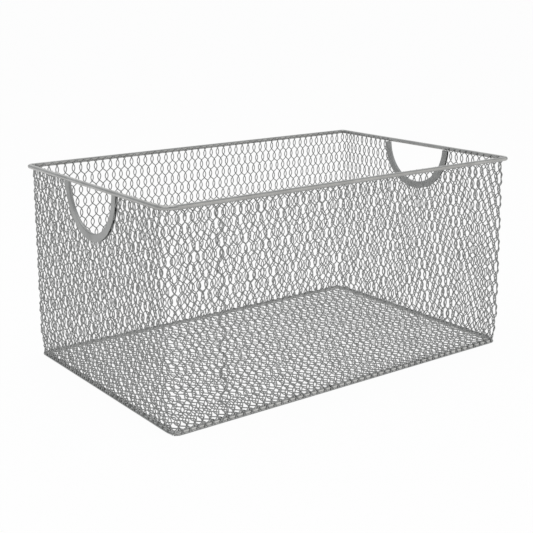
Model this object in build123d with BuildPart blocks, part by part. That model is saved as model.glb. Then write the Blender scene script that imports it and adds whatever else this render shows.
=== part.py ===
from build123d import *
import os
from math import hypot

# Mesh storage basket: a box of hexagonal wire netting held between a rim ring and a base
# ring of round wire, with a half-oval hand hole in each end wall. Millimetres, +X along
# the basket, +Z up, origin on the ground under the middle.

os.makedirs("parts", exist_ok=True)

# Rim ring, its sizes on the wire's centre line
rim_length = 401.8
rim_width = 252.4
rim_wire_diameter = 4.2
rim_bend_radius = 3.5
rim_wide_bend_radius = 12.0  # of the front left bend, rounder than the other three

# Base ring, its sizes on the wire's centre line
base_length = 393.4
base_width = 248.4
base_wire_diameter = 4.2
base_bend_radius = 6.0
base_land_depth = 0.3  # the flat under the ring, on which the basket stands

# From the base ring's centre line up to the rim's
ring_spacing = 192.4

# Netting: thickness, and how it is seated on the two rings
net_thickness = 1.2
weld_gap = 0.1  # between a net and the wire that it is welded to
corner_gap = 0.1  # between two nets where they meet at a corner
net_rise = 1.0  # the nets' upper edge above the rim's centre line
net_drop = 1.2  # the nets' lower edge below the base ring's centre line
floor_lap = 1.2  # the floor net's edge beyond the base ring's centre line

# Netting pattern: gaps in staggered rows, twisted strands along the gaps, thin ones across
wall_gap_pitch = 14.2
wall_row_pitch = 19.8
floor_gap_pitch = 16.0
floor_row_pitch = 23.2
twist_share = 0.65  # of a row's pitch, the straight twisted part
twist_width = 3.0
strand_width = 1.8
least_gap_share = 0.1  # of a whole gap's area; smaller cut gaps are left out
edge_width = 1.6  # solid strip along a net's free edges and below the rim
selvage_width = 3.6  # solid strip along the base ring and round the hand holes

# Hand holes, half ovals under the rim, and the folded strip that trims them
hole_half_width = 40.2  # at the rim's centre line
left_hole_depth = 45.6  # from the rim's centre line to the hole's lowest point
right_hole_depth = 42.8
left_hole_slide = 3.0  # from the middle of the wall toward the rear
right_hole_slide = 0
trim_sheet = 0.6
trim_face = 6.1  # height of the strip's flat faces, web included
trim_thickness = 3.0  # across both faces
trim_clearance = 0.3  # between the strip's web and the cut edge of the net

# Levels and places that follow from the sizes above
rim_radius = rim_wire_diameter / 2
base_radius = base_wire_diameter / 2
base_level = base_radius - base_land_depth
rim_level = base_level + ring_spacing
rim_inset = rim_radius + weld_gap + net_thickness / 2
rim_bends = (rim_wide_bend_radius, rim_bend_radius, rim_bend_radius, rim_bend_radius)
base_bends = (base_bend_radius, base_bend_radius, base_bend_radius, base_bend_radius)
base_outset = base_radius + weld_gap + net_thickness / 2

# Each wall net runs from inside the rim to outside the base ring. These are the distances
# of its middle surface from the basket's middle, at the two rings' levels.
end_at_base = base_length / 2 + base_outset
end_at_rim = rim_length / 2 - rim_inset
side_at_base = base_width / 2 + base_outset
side_at_rim = rim_width / 2 - rim_inset


def wall_plane(at_base, at_rim, outward):
    """A wall's middle surface: local X across it, local Y up it, local Z outward."""
    across = Vector(0, 0, 1).cross(outward)
    up = outward * (at_rim - at_base) + Vector(0, 0, ring_spacing)
    origin = outward * at_base + Vector(0, 0, base_level)
    return Plane(origin=origin, x_dir=across, z_dir=across.cross(up))


def wall_height(at_base, at_rim):
    """The distance between the two rings' levels, measured up a wall's slope."""
    return hypot(ring_spacing, at_rim - at_base)


def polygon_face(corners):
    with BuildSketch() as face:
        Polygon(*corners, align=None)
    return face.sketch


def wall_outline(half_at_base, half_at_rim, height, rim_half):
    """A wall net's outline: its upper corners are cut away under the rim's bends."""
    widening = (half_at_rim - half_at_base) / height
    low = -net_drop
    high = height + net_rise
    notch = height - rim_radius - weld_gap
    bend = rim_half - max(rim_bends)
    half_low = half_at_base + widening * low
    half_notch = half_at_base + widening * notch
    right = [(half_low, low), (half_notch, notch), (bend, notch), (bend, high)]
    return polygon_face(right + [(-x, y) for x, y in reversed(right)])


def wall_field(half_at_base, half_at_rim, height):
    """The part of a wall net that holds its gaps, inside the solid edge and selvages."""
    widening = (half_at_rim - half_at_base) / height
    low = selvage_width - net_drop
    high = height - rim_radius - weld_gap - edge_width
    half_low = half_at_base + widening * low - edge_width
    half_high = half_at_base + widening * high - edge_width
    return polygon_face(
        [(-half_low, low), (half_low, low), (half_high, high), (-half_high, high)]
    )


def hand_hole(depth, slide, height, margin):
    """The oval of a hand hole, grown by a margin; its middle is on the rim's centre line."""
    with BuildSketch() as shape:
        with Locations((slide, height)):
            Ellipse(hole_half_width + margin, depth + margin)
    return shape.sketch


def gap_shape(pitch, row_pitch):
    """One six-sided gap between two twisted strands and four thin ones."""
    twist = twist_share * row_pitch
    slope = row_pitch - twist
    thinning = strand_width * hypot(pitch / 2, slope) / pitch
    side = (pitch - twist_width) / 2
    tip = twist / 2 + slope - thinning
    shoulder = tip - slope * side / (pitch / 2)
    corners = [(0, tip), (side, shoulder), (side, -shoulder)]
    corners += [(-x, -y) for x, y in corners]
    with BuildSketch() as shape:
        Polygon(*corners, align=None)
    return shape.sketch


def gap_places(pitch, row_pitch, half_across, low, high):
    """Staggered rows of gap centres that cover a field, counted down from its top."""
    places = []
    for row in range(int((high - low) / row_pitch) + 2):
        stagger = pitch / 2 * (row % 2)
        for column in range(int(2 * half_across / pitch) + 3):
            x = (column - int(half_across / pitch) - 1) * pitch + stagger
            y = high - row * row_pitch
            if abs(x) < half_across + pitch / 2:
                places.append((x, y))
    return places


def net_face(outline, field, pitch, row_pitch):
    """A flat net as one holed face, its gaps trimmed to the field and slivers left out."""
    box = field.bounding_box()
    gap = gap_shape(pitch, row_pitch)
    holes = []
    for place in gap_places(pitch, row_pitch, box.size.X / 2, box.min.Y, box.max.Y):
        trimmed = gap.moved(Location(place)) & field
        kept = trimmed.faces() if trimmed else []
        holes += [face.outer_wire() for face in kept if face.area > least_gap_share * gap.area]
    return Face(outline.face().outer_wire(), holes)


def ring_path(length, width, bends, level):
    """The closed centre line of a wire ring; its bends go round from the front left one."""
    x, y = length / 2, width / 2
    corners = [(-x, -y), (x, -y), (x, y), (-x, y)]
    with BuildLine(Plane.XY.offset(level)) as path:
        Polyline((0, -y), *corners[1:], corners[0], close=True)
        for corner, bend_radius in zip(corners, bends):
            nearest = path.vertices().sort_by_distance((*corner, level))[0]
            fillet(nearest, bend_radius)
    return path.wire()


# Rim ring
with BuildPart() as rim_wire:
    rim_path = ring_path(rim_length, rim_width, rim_bends, rim_level)
    with BuildSketch(Plane(origin=rim_path @ 0, z_dir=rim_path % 0)):
        Circle(rim_radius)
    sweep(path=rim_path)
rim_wire.part.label = "rim_wire"

# Base ring, with the narrow flat that it stands on
with BuildPart() as base_ring:
    base_path = ring_path(base_length, base_width, base_bends, base_level)
    with BuildSketch(Plane(origin=base_path @ 0, z_dir=base_path % 0)):
        Circle(base_radius)
    sweep(path=base_path)
    split(bisect_by=Plane.XY, keep=Keep.TOP)
base_ring.part.label = "base_ring"

# The two long wall nets reach over the corners, to the end nets' outer faces
side_height = wall_height(side_at_base, side_at_rim)
side_halves = (end_at_base + net_thickness / 2, end_at_rim + net_thickness / 2)
side_face = net_face(
    wall_outline(*side_halves, side_height, rim_length / 2),
    wall_field(*side_halves, side_height),
    wall_gap_pitch,
    wall_row_pitch,
)
front_plane = wall_plane(side_at_base, side_at_rim, Vector(0, -1, 0))
with BuildPart() as front_net:
    extrude(front_plane.offset(-net_thickness / 2) * side_face, amount=net_thickness)
front_net.part.label = "front_net"

rear_plane = wall_plane(side_at_base, side_at_rim, Vector(0, 1, 0))
with BuildPart() as rear_net:
    extrude(rear_plane.offset(-net_thickness / 2) * side_face, amount=net_thickness)
rear_net.part.label = "rear_net"

# The two end nets stand between the long ones, and each has a hand hole. Its trim is a
# strip folded over the net's cut edge: a U band, hollowed from outside.
end_height = wall_height(end_at_base, end_at_rim)
end_tuck = net_thickness / 2 + corner_gap
end_halves = (side_at_base - end_tuck, side_at_rim - end_tuck)
end_outline = wall_outline(*end_halves, end_height, rim_width / 2)
end_field = wall_field(*end_halves, end_height)
cut_margin = trim_sheet + trim_clearance
with BuildSketch() as below_rim:
    with Locations((0, end_height - rim_radius)):
        Rectangle(rim_width, ring_spacing, align=(Align.CENTER, Align.MAX))

for end, outward, depth, slide in (
    ("left", Vector(-1, 0, 0), left_hole_depth, -left_hole_slide),
    ("right", Vector(1, 0, 0), right_hole_depth, right_hole_slide),
):
    hole, web, cut, selvage, band = [
        hand_hole(depth, slide, end_height, margin)
        for margin in (0, trim_sheet, cut_margin, cut_margin + selvage_width, trim_face)
    ]
    end_face = net_face(end_outline - cut, end_field - selvage, wall_gap_pitch, wall_row_pitch)
    end_plane = wall_plane(end_at_base, end_at_rim, outward)
    with BuildPart() as end_net:
        extrude(end_plane.offset(-net_thickness / 2) * end_face, amount=net_thickness)
    end_net.part.label = f"{end}_end_net"
    export_step(end_net.part, f"parts/{end}_end_net.step")

    trim_band = below_rim.sketch & (band - hole)
    with BuildPart() as handle_trim:
        extrude(end_plane.offset(-trim_thickness / 2) * trim_band, amount=trim_thickness)
        extrude(
            end_plane.offset(trim_sheet - trim_thickness / 2) * (trim_band - web),
            amount=trim_thickness - 2 * trim_sheet,
            mode=Mode.SUBTRACT,
        )
    handle_trim.part.label = f"{end}_handle_trim"
    export_step(handle_trim.part, f"parts/{end}_handle_trim.step")

# Floor net, welded on top of the base ring
floor_level = base_level + base_radius + weld_gap
with BuildSketch() as floor_outline:
    RectangleRounded(
        base_length + 2 * floor_lap, base_width + 2 * floor_lap, base_bend_radius + floor_lap
    )
with BuildSketch() as floor_field:
    RectangleRounded(
        base_length + 2 * (floor_lap - selvage_width),
        base_width + 2 * (floor_lap - selvage_width),
        base_bend_radius + floor_lap - selvage_width,
    )
floor_face = net_face(
    floor_outline.sketch, floor_field.sketch, floor_gap_pitch, floor_row_pitch
)
with BuildPart() as floor_net:
    extrude(Plane.XY.offset(floor_level) * floor_face, amount=net_thickness)
floor_net.part.label = "floor_net"

export_step(rim_wire.part, "parts/rim_wire.step")
export_step(base_ring.part, "parts/base_ring.step")
export_step(front_net.part, "parts/front_net.step")
export_step(rear_net.part, "parts/rear_net.step")
export_step(floor_net.part, "parts/floor_net.step")
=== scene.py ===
import math
from dataclasses import dataclass

import bpy
import numpy as np
from mathutils import Matrix, Vector


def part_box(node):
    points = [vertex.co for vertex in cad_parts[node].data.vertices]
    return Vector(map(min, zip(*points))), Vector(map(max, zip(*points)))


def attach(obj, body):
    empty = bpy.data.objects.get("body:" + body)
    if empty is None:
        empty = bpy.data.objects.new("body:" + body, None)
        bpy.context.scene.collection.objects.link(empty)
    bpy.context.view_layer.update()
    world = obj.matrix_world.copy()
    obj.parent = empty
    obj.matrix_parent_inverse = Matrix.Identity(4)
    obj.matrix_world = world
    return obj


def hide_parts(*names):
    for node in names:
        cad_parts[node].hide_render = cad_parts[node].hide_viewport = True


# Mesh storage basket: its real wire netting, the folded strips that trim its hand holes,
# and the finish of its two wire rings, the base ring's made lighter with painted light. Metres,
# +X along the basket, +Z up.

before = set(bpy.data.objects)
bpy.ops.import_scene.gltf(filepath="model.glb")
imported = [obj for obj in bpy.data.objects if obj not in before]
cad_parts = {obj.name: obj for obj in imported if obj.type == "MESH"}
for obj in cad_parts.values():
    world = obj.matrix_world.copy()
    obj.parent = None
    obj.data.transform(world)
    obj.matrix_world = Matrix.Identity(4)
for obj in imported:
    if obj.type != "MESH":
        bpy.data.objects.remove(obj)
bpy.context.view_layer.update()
rng = np.random.default_rng(11)

# The two rings, read from the frame
rim_low, rim_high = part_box("rim_wire")
ring_radius = (rim_high.z - rim_low.z) / 2
rim_level = (rim_high.z + rim_low.z) / 2
rim_half = (rim_high.x - ring_radius, rim_high.y - ring_radius)
base_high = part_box("base_ring")[1]
base_level = base_high.z - ring_radius
base_half = (base_high.x - ring_radius, base_high.y - ring_radius)
ring_spacing = rim_level - base_level

# The netting's wire and the shape of one mesh
WIRE_RADIUS = 0.00053
WIRE_SIDES = 6
TWIST_LENGTH = 0.0082  # of the two twisted wires, from one crossing to the next
TWIST_BULGE = 0.00162  # of each wire's centre line from the twist's axis
TWIST_DEPTH = 0.00044  # of each crossing wire's centre line, off the netting's middle
TWIST_STEPS = np.array([-1, -0.72, -0.36, 0, 0.36, 0.72, 1])  # shares of half its length
TWIST_TURN = np.pi / 2 * TWIST_STEPS
LEAST_POINTS = 4  # of a wire; shorter cut ends are left out
SEAT = ring_radius + WIRE_RADIUS  # from a ring's centre line to a netting wire on it

# How unevenly the twists lie, as standard deviations: along the wall, up it, in their bulge
# as a share, and in depth
WALL_JITTER = (0.00013, 0.00016, 0.09, 0.00010)
FLOOR_JITTER = (0.00014, 0.00018, 0.10)  # across the floor's wires, along them, in bulge

# How far the netting laps the rings
TOP_LAP = 0.0015  # above the rim's centre line
BOTTOM_LAP = 0.00015  # below the wire in the netting's lower edge
FLOOR_LAP = 0.0012
TWIST_FADE = 0.004  # height above the base ring's centre over which the twists lie flat on it

# Netting's middle surface outside the line between the rings, above the base ring's centre
SEATED_LEVEL = 0.0012  # up to which the netting lies on the base ring
TUCK_LEVEL, TUCK = 0.007, 0.0013
BELLY_LEVEL, BELLY = 0.026, 0.0021

# The netting's corners
RIM_CORNER_RADIUS = 0.0025
WIDE_RIM_CORNER_RADIUS = 0.0095  # inside the rim's wide bend, at the front left
BASE_CORNER_RADIUS = 0.0080
BASE_CORNER_LEVEL = 0.012  # above the base ring's centre, where the radius is the rim's
CORNER_SHARE = 0.14  # of a wall's width, over which its columns settle beside a corner

# Where the strip's two ends lap, a wire is doubled: how the second one lies to the first
LAP_SLIDE = 0.0021
LAP_DROP = 0.0009
LAP_DEPTH = -0.0010

# The wire in the netting's lower edge
SELVAGE_OUT = 0.0030  # from the base ring's centre line
SELVAGE_POINTS = 90

# The hand holes, half ovals under the rim, and the sizes of their trims
HOLE_HALF_WIDTH = 0.0402
NET_CUT = 0.0012  # from a hole's edge to the netting's cut wires, inside the trim
TRIM_SHEET = 0.0006
TRIM_FACE = 0.0072
TRIM_THICKNESS = 0.0030
TRIM_FOLD = 0.0009  # outer radius of the two folds
FOLD_STEPS = 4
TRIM_STATIONS = 57
TRIM_SMOOTH_ANGLE = math.radians(35)

# The floor netting, its wires running across the basket
FLOOR_PITCH = 0.00815
FLOOR_ROW_PITCH = 0.0123
FLOOR_SLIDE = 0.0007
FLOOR_ROW_SLIDE = -0.0022
FLOOR_SAG, FLOOR_SAG_REACH = 0.0004, 0.02  # below the ring's top, from the edge inward

# The coating: how its tone, gloss and surface vary
PATCH_SCALE, PATCH_DETAIL = 55, 4
PATCH_RANGE = (0.32, 0.68)  # of the noise, from the darkest tone to the lightest
TONE_RANGE = (0.86, 1.10)  # shares of the paint's colour
GLOSS_RANGE = (-0.07, 0.09)  # added to the paint's roughness
PEEL_DETAIL = 3
PEEL_STRENGTH, PEEL_DEPTH = 0.25, 0.0001

# The studio
STAGE_HALF = 30
STAGE_GREY = 0.9
STAGE_GLOW = 0.85  # the share of white that lights the basket from the floor
STAGE_GLOW_SEEN = 0.95  # and the share that the camera and reflections see
BACKDROP_SIDE = (0.58, 0.78, 0.23)  # the direction of the white backdrop
STUDIO_TONES = (  # that reflections see, from the camera's side to the backdrop's
    (0.06, (0.26, 0.28, 0.30, 1)),
    (0.22, (0.62, 0.63, 0.64, 1)),
    (0.80, (0.64, 0.66, 0.68, 1)),
    (0.89, (1, 1, 1, 1)),
)
FILL_COLOUR, FILL_STRENGTH = (0.97, 0.98, 1, 1), 0.7
LAMP_TARGET = (0, 0, 0.08)
LAMPS = (  # name, place, size, power and colour
    ("overhead", (-0.25, 0.10, 1.5), 1.3, 5, (1.0, 0.98, 0.95)),
    ("key", (-1.5, -0.9, 1.3), 1.2, 3, (1.0, 0.99, 0.97)),
    ("fill", (1.2, -1.6, 0.8), 1.4, 3, (1.0, 0.95, 0.87)),
)

# The photograph's camera, fitted to the straight wires of both rings. It looks at the middle
# of the base ring, apart from a slide and rise across its view.
CAMERA_AZIMUTH = math.radians(-36.661)
CAMERA_ELEVATION = math.radians(15.261)
CAMERA_ROLL = math.radians(-0.155)
CAMERA_DISTANCE = 1.0717
CAMERA_SLIDE, CAMERA_RISE = -0.00610, 0.08248
CAMERA_LENS, CAMERA_SENSOR = 69.763, 36  # millimetres


@dataclass
class Wall:
    """One wall of the netting strip, seen from outside, its columns counted from the left."""

    name: str
    node: str
    outward: tuple
    half_columns: int
    first_column: int  # counted round the whole strip
    top_rows: tuple  # height of the first row of twists at the left and right end
    row_pitches: tuple  # at the left and right end
    bends: tuple  # the netting's radius under the rim, at the left and right corner
    slide: float = 0.0  # of the columns along the wall, away from its corners
    lean: float = 0.0  # of the columns: the slide per height
    hole: tuple = ()  # its depth below the rim's centre line, and its place along the wall
    lapped_wires: tuple = ()
    selvage_drop: float = 0.00115  # of the lower edge wire, below the base ring's centre line


# The wall strip. Heights are those of the first row of twists under the rim, at the corners.
FRONT_LEFT_TOP = base_level + 0.1833
FRONT_RIGHT_TOP = base_level + 0.1838
REAR_RIGHT_TOP = base_level + 0.1863
REAR_LEFT_TOP = base_level + 0.1862
FRONT_PITCH, REAR_PITCH = 0.01160, 0.01148
walls = [
    Wall(
        name="front_netting",
        node="front_net",
        outward=(0, -1),
        half_columns=95,
        first_column=0,
        top_rows=(FRONT_LEFT_TOP, FRONT_RIGHT_TOP),
        row_pitches=(FRONT_PITCH, FRONT_PITCH),
        bends=(WIDE_RIM_CORNER_RADIUS, RIM_CORNER_RADIUS),
        slide=-0.0035,
        lean=-0.0066,
        lapped_wires=(12,),
    ),
    Wall(
        name="right_end_netting",
        node="right_end_net",
        outward=(1, 0),
        half_columns=63,
        first_column=95,
        top_rows=(FRONT_RIGHT_TOP, REAR_RIGHT_TOP),
        row_pitches=(FRONT_PITCH, REAR_PITCH),
        bends=(RIM_CORNER_RADIUS, RIM_CORNER_RADIUS),
        slide=0.0005,
        lean=0.048,
        hole=(0.0413, 0.0),
    ),
    Wall(
        name="rear_netting",
        node="rear_net",
        outward=(0, 1),
        half_columns=96,
        first_column=158,
        top_rows=(REAR_RIGHT_TOP, REAR_LEFT_TOP),
        row_pitches=(REAR_PITCH, REAR_PITCH),
        bends=(RIM_CORNER_RADIUS, RIM_CORNER_RADIUS),
        slide=0.0007,
        lean=-0.028,
    ),
    Wall(
        name="left_end_netting",
        node="left_end_net",
        outward=(-1, 0),
        half_columns=62,
        first_column=254,
        top_rows=(REAR_LEFT_TOP, FRONT_LEFT_TOP),
        row_pitches=(REAR_PITCH, FRONT_PITCH),
        bends=(RIM_CORNER_RADIUS, WIDE_RIM_CORNER_RADIUS),
        hole=(0.0440, -0.0030),
        selvage_drop=-0.0002,
    ),
]


def smooth(t):
    t = np.clip(t, 0, 1)
    return t * t * (3 - 2 * t)


def sheet_offset(z):
    """How far the netting's middle lies outside the straight line between the rings."""
    up = z - base_level
    knots = (SEATED_LEVEL, TUCK_LEVEL, BELLY_LEVEL, ring_spacing)
    values = (math.sqrt(SEAT**2 - SEATED_LEVEL**2), TUCK, BELLY, -SEAT)
    offset = np.interp(up, knots, values)
    low = np.sqrt(np.maximum(SEAT**2 - up**2, 0))
    high = -np.sqrt(np.maximum(SEAT**2 - (up - ring_spacing) ** 2, 0))
    offset = np.where(up < SEATED_LEVEL, low, offset)
    return np.where(up > ring_spacing, high, offset)


def corner_radius(z, under_rim):
    """The netting's radius at a corner, from the base ring's bend to the rim's."""
    share = smooth((z - base_level) / BASE_CORNER_LEVEL)
    return BASE_CORNER_RADIUS + (under_rim - BASE_CORNER_RADIUS) * share


def half_distances(z):
    """From the basket's middle to the end and side nettings' middle surfaces, at height z."""
    share = (z - base_level) / ring_spacing
    offset = sheet_offset(z)
    return [base_half[k] + (rim_half[k] - base_half[k]) * share + offset for k in (0, 1)]


def wall_halves(wall, z):
    """Half the wall's width and its distance from the middle, at height z."""
    end, side = half_distances(z)
    return (side, end) if wall.outward[0] else (end, side)


def strip_ends(wall, z):
    """The wall's ends along the netting, at the middle of each rounded corner."""
    half = wall_halves(wall, z)[0]
    left, right = [half - corner_radius(z, bend) * (1 - math.pi / 4) for bend in wall.bends]
    return -left, right


def turn_to_wall(wall, along, out, z):
    """Vectors given along a wall (to its right, seen from outside), outward and up."""
    out_x, out_y = wall.outward
    right_x, right_y = -out_y, out_x
    return np.stack([right_x * along + out_x * out, right_y * along + out_y * out, z], -1)


def place_on_wall(wall, u, z, depth):
    """Points and outward normals for u along the wall, height z and depth outward."""
    half, distance = wall_halves(wall, z)
    left_bend, right_bend = wall.bends
    radius = corner_radius(z, np.where(u < 0, left_bend, right_bend))
    straight = half - radius
    angle = np.maximum(np.abs(u) - straight, 0) / radius
    along = np.sign(u) * (np.minimum(np.abs(u), straight) + (radius + depth) * np.sin(angle))
    out = distance - radius + (radius + depth) * np.cos(angle)
    points = turn_to_wall(wall, along, out, z)
    normals = turn_to_wall(wall, np.sign(u) * np.sin(angle), np.cos(angle), 0 * z)
    return points, normals


def row_height(wall, row, share):
    """The height of a row of twists, at a share of the wall's width."""
    top = wall.top_rows[0] + (wall.top_rows[1] - wall.top_rows[0]) * share
    pitch = wall.row_pitches[0] + (wall.row_pitches[1] - wall.row_pitches[0]) * share
    return top - row * pitch


def column_place(wall, column, z):
    """Where a column's axis runs along the wall at height z."""
    share = column / wall.half_columns
    left, right = strip_ends(wall, z)
    middle = (base_level + rim_level) / 2
    window = smooth(np.minimum(share, 1 - share) / CORNER_SHARE)
    return left + share * (right - left) + window * (wall.slide + wall.lean * (z - middle))


def join_twists(twists):
    """A wire's course through its twists, with one more point halfway between each two."""
    course = []
    for here, below in zip(twists, twists[1:]):
        course.append(here)
        course.append(((here[-1] + below[0]) / 2)[None])
    return np.concatenate(course)


def wall_wires(wall):
    """Flat courses (u, z, depth) of the wall's wires, each between two half columns."""
    rows = int(ring_spacing / min(wall.row_pitches)) + 3  # the last ones lie below the base
    shape = (rows + 2, wall.half_columns + 2)
    jitters = [rng.normal(0, spread, shape) for spread in WALL_JITTER]
    for jitter in jitters:
        jitter[:, [0, wall.half_columns]] = 0
    shift, lift, swell, sway = jitters
    wires = []
    for wire in range(wall.half_columns):
        twists = []
        for row in range(-1, rows):
            even = (row + wire + wall.first_column) % 2 == 0
            column = wire if even else wire + 1
            hand = -1 if even else 1
            centre = row_height(wall, row, column / wall.half_columns)
            z = centre + lift[row, column] - TWIST_LENGTH / 2 * TWIST_STEPS
            bulge = TWIST_BULGE * (1 + swell[row, column])
            axis = column_place(wall, column, z) + shift[row, column]
            u = axis + hand * bulge * np.cos(TWIST_TURN)
            depth = hand * TWIST_DEPTH * np.sin(TWIST_TURN) + sway[row, column]
            twists.append(np.stack([u, z, depth], -1))
        wires.append(join_twists(twists))
        if wire in wall.lapped_wires:
            wires.append(wires[-1] + np.array([LAP_SLIDE, -LAP_DROP, LAP_DEPTH]))
    return wires


def trim_to_rings(wall, course):
    """Cuts a wire near the rim's centre line and the lower edge wire."""
    top, bottom = rim_level + TOP_LAP, base_level - wall.selvage_drop - BOTTOM_LAP
    z = course[:, 1]
    ends = [[np.interp(cut, z[::-1], course[::-1, k]) for k in range(3)] for cut in (top, bottom)]
    kept = course[(z < top) & (z > bottom)]
    trimmed = np.concatenate([ends[:1], kept, ends[1:]])
    trimmed[:, 2] *= np.clip((trimmed[:, 1] - base_level) / TWIST_FADE, 0, 1)
    return trimmed


def outside_hole(wall, course):
    """The stretches of a wire that the hand hole leaves."""
    if not wall.hole:
        return [course]
    depth, middle = wall.hole
    across = (course[:, 0] - middle) / (HOLE_HALF_WIDTH + NET_CUT)
    inside = np.hypot(across, (course[:, 1] - rim_level) / (depth + NET_CUT)) < 1
    stretches, run = [], []
    for point, cut in zip(course, inside):
        if cut:
            stretches.append(run)
            run = []
        else:
            run.append(point)
    stretches.append(run)
    return [np.array(stretch) for stretch in stretches if len(stretch) >= LEAST_POINTS]


def selvage(wall):
    """The lower edge wire's path along a wall, from the middle of one corner to the other."""
    z = np.full(SELVAGE_POINTS, base_level - wall.selvage_drop)
    left, right = [float(end[0]) for end in strip_ends(wall, z)]
    u = np.linspace(left, right, SELVAGE_POINTS)
    return place_on_wall(wall, u, z, SELVAGE_OUT - sheet_offset(z))


def floor_wires():
    """Paths (points, normals) of the floor netting's wires, which end on the base ring."""
    half_x = base_half[0] + FLOOR_LAP
    half_y = base_half[1] + FLOOR_LAP
    level = base_level + SEAT
    wires = 2 * int(2 * half_x / FLOOR_PITCH) + 3  # some wires and rows reach past the ring
    rows = int(2 * half_y / FLOOR_ROW_PITCH) + 4
    shape = (rows + 2, wires + 2)
    shift, drift, swell = [rng.normal(0, spread, shape) for spread in FLOOR_JITTER]
    paths = []
    for wire in range(wires):
        twists = []
        for row in range(rows + 1):
            even = (row + wire) % 2 == 0
            column = wire if even else wire + 1
            hand = -1 if even else 1
            axis = FLOOR_SLIDE + (column - wires // 2) * FLOOR_PITCH / 2
            bulge = TWIST_BULGE * (1 + swell[row, column])
            x = axis + shift[row, column] + hand * bulge * np.cos(TWIST_TURN)
            centre = FLOOR_ROW_SLIDE + (rows // 2 - row) * FLOOR_ROW_PITCH
            y = centre + drift[row, column] - TWIST_LENGTH / 2 * TWIST_STEPS
            twists.append(np.stack([x, y, hand * TWIST_DEPTH * np.sin(TWIST_TURN)], -1))
        path = join_twists(twists)
        path = path[(np.abs(path[:, 1]) < half_y) & (np.abs(path[:, 0]) < half_x)]
        if len(path) < LEAST_POINTS:
            continue
        from_edge = np.minimum(half_x - np.abs(path[:, 0]), half_y - np.abs(path[:, 1]))
        twisted = np.clip(from_edge / (2 * ring_radius), 0, 1)
        path[:, 2] *= twisted
        path[:, 2] += level - FLOOR_SAG * smooth(from_edge / FLOOR_SAG_REACH)
        paths.append((path, np.tile([0.0, 0.0, 1.0], (len(path), 1))))
    return paths


def add_mesh(name, vertices, faces):
    mesh = bpy.data.meshes.new(name)
    mesh.from_pydata(vertices, [], faces)
    mesh.update()
    piece = bpy.data.objects.new(name, mesh)
    bpy.context.scene.collection.objects.link(piece)
    return piece


def wire_mesh(name, paths):
    """One mesh of closed round wires along (points, normals) paths."""
    vertices, faces, count = [], [], 0
    angles = np.arange(WIRE_SIDES) * 2 * math.pi / WIRE_SIDES
    for points, normals in paths:
        tangent = np.gradient(points, axis=0)
        tangent /= np.linalg.norm(tangent, axis=1, keepdims=True)
        side = np.cross(tangent, normals)
        side /= np.linalg.norm(side, axis=1, keepdims=True)
        up = np.cross(side, tangent)
        ring = (
            points[:, None]
            + WIRE_RADIUS * np.cos(angles)[None, :, None] * side[:, None]
            + WIRE_RADIUS * np.sin(angles)[None, :, None] * up[:, None]
        )
        vertices.append(ring.reshape(-1, 3))
        index = count + np.arange(len(points) * WIRE_SIDES).reshape(-1, WIRE_SIDES)
        after = np.roll(index, -1, axis=1)
        quads = np.stack([index[:-1], index[1:], after[1:], after[:-1]], -1)
        faces += quads.reshape(-1, 4).tolist()
        faces.append(index[0].tolist())
        faces.append(index[-1][::-1].tolist())
        count += index.size
    piece = add_mesh(name, np.concatenate(vertices).tolist(), faces)
    piece.data.shade_smooth()
    return piece


def wall_netting(wall):
    """A wall's wires and its lower edge wire."""
    paths = [selvage(wall)]
    for course in wall_wires(wall):
        for stretch in outside_hole(wall, trim_to_rings(wall, course)):
            paths.append(place_on_wall(wall, stretch[:, 0], stretch[:, 1], stretch[:, 2]))
    return wire_mesh(wall.name, paths)


def trim_profile():
    """The folded strip's section: distance from the hole's edge, and depth."""
    half = TRIM_THICKNESS / 2
    quarter = [math.pi / 2 * k / FOLD_STEPS for k in range(FOLD_STEPS + 1)]
    sides = []
    for fold, depth in ((TRIM_FOLD, half), (TRIM_FOLD - TRIM_SHEET, half - TRIM_SHEET)):
        face = [(TRIM_FACE, depth)]
        for angle in quarter:
            edge = TRIM_FOLD - fold * math.sin(angle)
            face.append((edge, half - TRIM_FOLD + fold * math.cos(angle)))
        sides.append(face + [(q, -d) for q, d in reversed(face)])
    outside, inside = sides
    return outside + inside[::-1]


def handle_trim(wall, name, node):
    """A strip folded over the netting's cut edge: down one arm, round and up the other."""
    profile = trim_profile()
    depth, middle = wall.hole
    start = math.asin((rim_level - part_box(node)[1].z) / depth)
    sections = []
    for angle in np.linspace(start, math.pi - start, TRIM_STATIONS):
        across, down = -math.cos(angle), -math.sin(angle)
        out_u, out_h = Vector((across * depth, down * HOLE_HALF_WIDTH)).normalized()
        u, h = middle + HOLE_HALF_WIDTH * across, depth * down
        sections.append([(u + out_u * q, h + out_h * q, d) for q, d in profile])
    u, h, d = np.array(sections).reshape(-1, 3).T

    # The strip lies in the wall's slope, between the rim and the belly
    belly_level = base_level + BELLY_LEVEL
    at_rim, at_belly = half_distances(np.array([rim_level, belly_level]))[0]
    lie = math.atan((at_belly - at_rim) / (rim_level - belly_level))
    z = rim_level + h * math.cos(lie) + d * math.sin(lie)
    out = at_rim - h * math.sin(lie) + d * math.cos(lie)
    points = turn_to_wall(wall, u, out, z)

    index = np.arange(len(points)).reshape(TRIM_STATIONS, len(profile))
    after = np.roll(index, -1, axis=1)
    quads = np.stack([index[:-1], after[:-1], after[1:], index[1:]], -1)
    faces = quads.reshape(-1, 4).tolist() + [index[0][::-1].tolist(), index[-1].tolist()]
    piece = add_mesh(name, points.tolist(), faces)
    bpy.context.view_layer.objects.active = piece
    piece.select_set(True)
    bpy.ops.object.mode_set(mode="EDIT")
    bpy.ops.mesh.select_all(action="SELECT")
    bpy.ops.mesh.normals_make_consistent(inside=False)
    bpy.ops.object.mode_set(mode="OBJECT")
    bpy.ops.object.shade_smooth_by_angle(angle=TRIM_SMOOTH_ANGLE)
    piece.select_set(False)
    return piece


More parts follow.
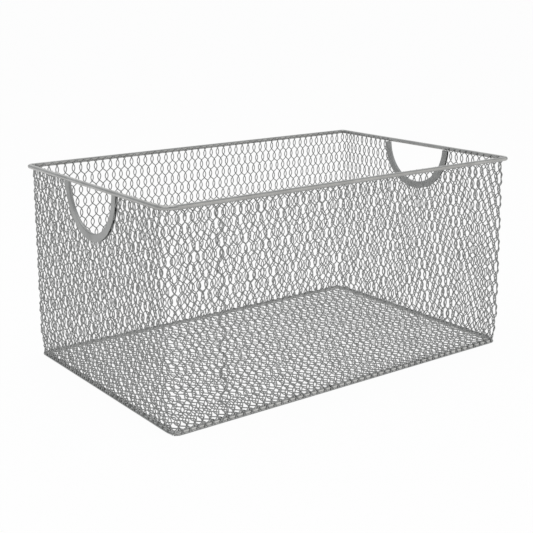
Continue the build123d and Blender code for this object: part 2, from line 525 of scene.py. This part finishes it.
def new_noise(nodes, links, place, scale, detail):
    noise = nodes.new("ShaderNodeTexNoise")
    noise.inputs["Scale"].default_value = scale
    noise.inputs["Detail"].default_value = detail
    links.new(place.outputs["Object"], noise.inputs["Vector"])
    return noise


def paint(name, colour, roughness, metallic, grain):
    """Sprayed silver paint: uneven tone, uneven gloss and a fine orange peel."""
    material = bpy.data.materials.new(name)
    material.use_nodes = True
    nodes, links = material.node_tree.nodes, material.node_tree.links
    shader = nodes["Principled BSDF"]
    shader.inputs["Metallic"].default_value = metallic
    place = nodes.new("ShaderNodeTexCoord")
    patches = new_noise(nodes, links, place, PATCH_SCALE, PATCH_DETAIL)
    tone = nodes.new("ShaderNodeValToRGB")
    for stop, position, share in zip(tone.color_ramp.elements, PATCH_RANGE, TONE_RANGE):
        stop.position = position
        stop.color = (*[c * share for c in colour], 1)
    links.new(patches.outputs["Fac"], tone.inputs["Fac"])
    links.new(tone.outputs["Color"], shader.inputs["Base Color"])
    peel = new_noise(nodes, links, place, grain, PEEL_DETAIL)
    gloss = nodes.new("ShaderNodeMapRange")
    gloss.inputs["To Min"].default_value = roughness + GLOSS_RANGE[0]
    gloss.inputs["To Max"].default_value = roughness + GLOSS_RANGE[1]
    links.new(peel.outputs["Fac"], gloss.inputs["Value"])
    links.new(gloss.outputs["Result"], shader.inputs["Roughness"])
    bump = nodes.new("ShaderNodeBump")
    bump.inputs["Strength"].default_value = PEEL_STRENGTH
    bump.inputs["Distance"].default_value = PEEL_DEPTH
    links.new(peel.outputs["Fac"], bump.inputs["Height"])
    links.new(bump.outputs["Normal"], shader.inputs["Normal"])
    return material


def coat(piece, material):
    piece.data.materials.clear()
    piece.data.materials.append(material)


RING_FINISH = {"roughness": 0.18, "metallic": 0.85, "grain": 900}
rim_paint = paint("rim_paint", (0.385, 0.385, 0.375), **RING_FINISH)
# The base ring's paint is the rim's paint made lighter: painted light that lifts the shade the
# ring lies in near the floor
base_paint = paint("base_paint", (0.50, 0.50, 0.49), **RING_FINISH)
net_paint = paint("net_paint", (0.31, 0.315, 0.31), roughness=0.42, metallic=0.40, grain=1400)
trim_paint = paint("trim_paint", (0.33, 0.335, 0.33), roughness=0.36, metallic=0.80, grain=1100)

coat(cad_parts["rim_wire"], rim_paint)
coat(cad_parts["base_ring"], base_paint)

for wall in walls:
    netting = wall_netting(wall)
    coat(netting, net_paint)
    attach(netting, "root")
    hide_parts(wall.node)

floor_netting = wire_mesh("floor_netting", floor_wires())
coat(floor_netting, net_paint)
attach(floor_netting, "root")
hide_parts("floor_net")

for wall in walls:
    if wall.hole:
        end = wall.name.split("_")[0]
        trim = handle_trim(wall, f"{end}_trim_strip", f"{end}_handle_trim")
        coat(trim, trim_paint)
        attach(trim, "root")
        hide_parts(f"{end}_handle_trim")


def seen_by(nodes, links, *kinds):
    """1 for rays of the given kinds, and 0 for others, such as those that light things."""
    path = nodes.new("ShaderNodeLightPath")
    seen = path.outputs[f"Is {kinds[0]} Ray"]
    for kind in kinds[1:]:
        either = nodes.new("ShaderNodeMath")
        either.operation = "MAXIMUM"
        links.new(seen, either.inputs[0])
        links.new(path.outputs[f"Is {kind} Ray"], either.inputs[1])
        seen = either.outputs[0]
    return seen


def white_stage():
    """A white floor that keeps the basket's soft shadow."""
    corners = [(-1, -1), (1, -1), (1, 1), (-1, 1)]
    vertices = [(x * STAGE_HALF, y * STAGE_HALF, 0) for x, y in corners]
    floor = add_mesh("studio_floor", vertices, [(0, 1, 2, 3)])
    material = bpy.data.materials.new("white_floor")
    material.use_nodes = True
    nodes, links = material.node_tree.nodes, material.node_tree.links
    nodes.clear()
    out = nodes.new("ShaderNodeOutputMaterial")
    mix = nodes.new("ShaderNodeMixShader")
    diffuse = nodes.new("ShaderNodeBsdfDiffuse")
    diffuse.inputs["Color"].default_value = (STAGE_GREY, STAGE_GREY, STAGE_GREY, 1)
    glow = nodes.new("ShaderNodeEmission")
    glow.inputs["Color"].default_value = (1, 1, 1, 1)
    share = nodes.new("ShaderNodeMapRange")
    share.inputs["To Min"].default_value = STAGE_GLOW
    share.inputs["To Max"].default_value = STAGE_GLOW_SEEN
    seen = seen_by(nodes, links, "Camera", "Glossy", "Transmission")
    links.new(seen, share.inputs["Value"])
    links.new(share.outputs["Result"], mix.inputs["Fac"])
    links.new(diffuse.outputs[0], mix.inputs[1])
    links.new(glow.outputs[0], mix.inputs[2])
    links.new(mix.outputs[0], out.inputs["Surface"])
    coat(floor, material)


def white_surround():
    """White to the camera, a room's tones to reflections, and an even fill to the rest."""
    world = bpy.data.worlds.new("studio_world")
    bpy.context.scene.world = world
    world.use_nodes = True
    nodes, links = world.node_tree.nodes, world.node_tree.links
    nodes.clear()
    out = nodes.new("ShaderNodeOutputWorld")
    backdrop = nodes.new("ShaderNodeBackground")
    backdrop.inputs["Color"].default_value = (1, 1, 1, 1)
    place = nodes.new("ShaderNodeTexCoord")
    facing = nodes.new("ShaderNodeVectorMath")
    facing.operation = "DOT_PRODUCT"
    facing.inputs[1].default_value = BACKDROP_SIDE
    links.new(place.outputs["Generated"], facing.inputs[0])
    turned = nodes.new("ShaderNodeMapRange")
    turned.inputs["From Min"].default_value = -1
    links.new(facing.outputs["Value"], turned.inputs["Value"])
    tone = nodes.new("ShaderNodeValToRGB")
    stops = tone.color_ramp.elements
    stops[0].position = STUDIO_TONES[0][0]
    stops[1].position = STUDIO_TONES[-1][0]
    for position, _ in STUDIO_TONES[1:-1]:
        stops.new(position)
    for stop, (_, colour) in zip(stops, STUDIO_TONES):
        stop.color = colour
    links.new(turned.outputs["Result"], tone.inputs["Fac"])
    studio_tone = nodes.new("ShaderNodeBackground")
    links.new(tone.outputs["Color"], studio_tone.inputs["Color"])
    fill = nodes.new("ShaderNodeBackground")
    fill.inputs["Color"].default_value = FILL_COLOUR
    fill.inputs["Strength"].default_value = FILL_STRENGTH
    reflected = nodes.new("ShaderNodeMixShader")
    links.new(seen_by(nodes, links, "Glossy"), reflected.inputs["Fac"])
    links.new(fill.outputs[0], reflected.inputs[1])
    links.new(studio_tone.outputs[0], reflected.inputs[2])
    seen = nodes.new("ShaderNodeMixShader")
    links.new(seen_by(nodes, links, "Camera", "Transmission"), seen.inputs["Fac"])
    links.new(reflected.outputs[0], seen.inputs[1])
    links.new(backdrop.outputs[0], seen.inputs[2])
    links.new(seen.outputs[0], out.inputs["Surface"])


def soft_lamp(name, place, size, power, colour):
    light = bpy.data.lights.new(name, "AREA")
    light.shape = "SQUARE"
    light.size = size
    light.energy = power
    light.color = colour
    holder = bpy.data.objects.new(name, light)
    holder.location = place
    aim = Vector(LAMP_TARGET) - Vector(place)
    holder.rotation_euler = aim.to_track_quat("-Z", "Y").to_euler()
    bpy.context.scene.collection.objects.link(holder)


def photo_camera():
    """The photograph's view."""
    level = math.cos(CAMERA_ELEVATION)
    away_x, away_y = math.sin(CAMERA_AZIMUTH) * level, -math.cos(CAMERA_AZIMUTH) * level
    back = Vector((away_x, away_y, math.sin(CAMERA_ELEVATION)))
    right = (-back).cross(Vector((0, 0, 1))).normalized()
    up = right.cross(-back)
    rolled_right = math.cos(CAMERA_ROLL) * right + math.sin(CAMERA_ROLL) * up
    rolled_up = -math.sin(CAMERA_ROLL) * right + math.cos(CAMERA_ROLL) * up
    camera = bpy.data.cameras.new("photo_camera")
    camera.sensor_width = CAMERA_SENSOR
    camera.lens = CAMERA_LENS
    holder = bpy.data.objects.new("photo_camera", camera)
    axes = Matrix((rolled_right, rolled_up, back)).transposed()
    place = back * CAMERA_DISTANCE + rolled_right * CAMERA_SLIDE + rolled_up * CAMERA_RISE
    holder.matrix_world = Matrix.Translation(place + Vector((0, 0, base_level))) @ axes.to_4x4()
    bpy.context.scene.collection.objects.link(holder)
    bpy.context.scene.camera = holder


white_stage()
white_surround()
for lamp in LAMPS:
    soft_lamp(*lamp)
photo_camera()
bpy.context.scene.view_settings.view_transform = "Standard"
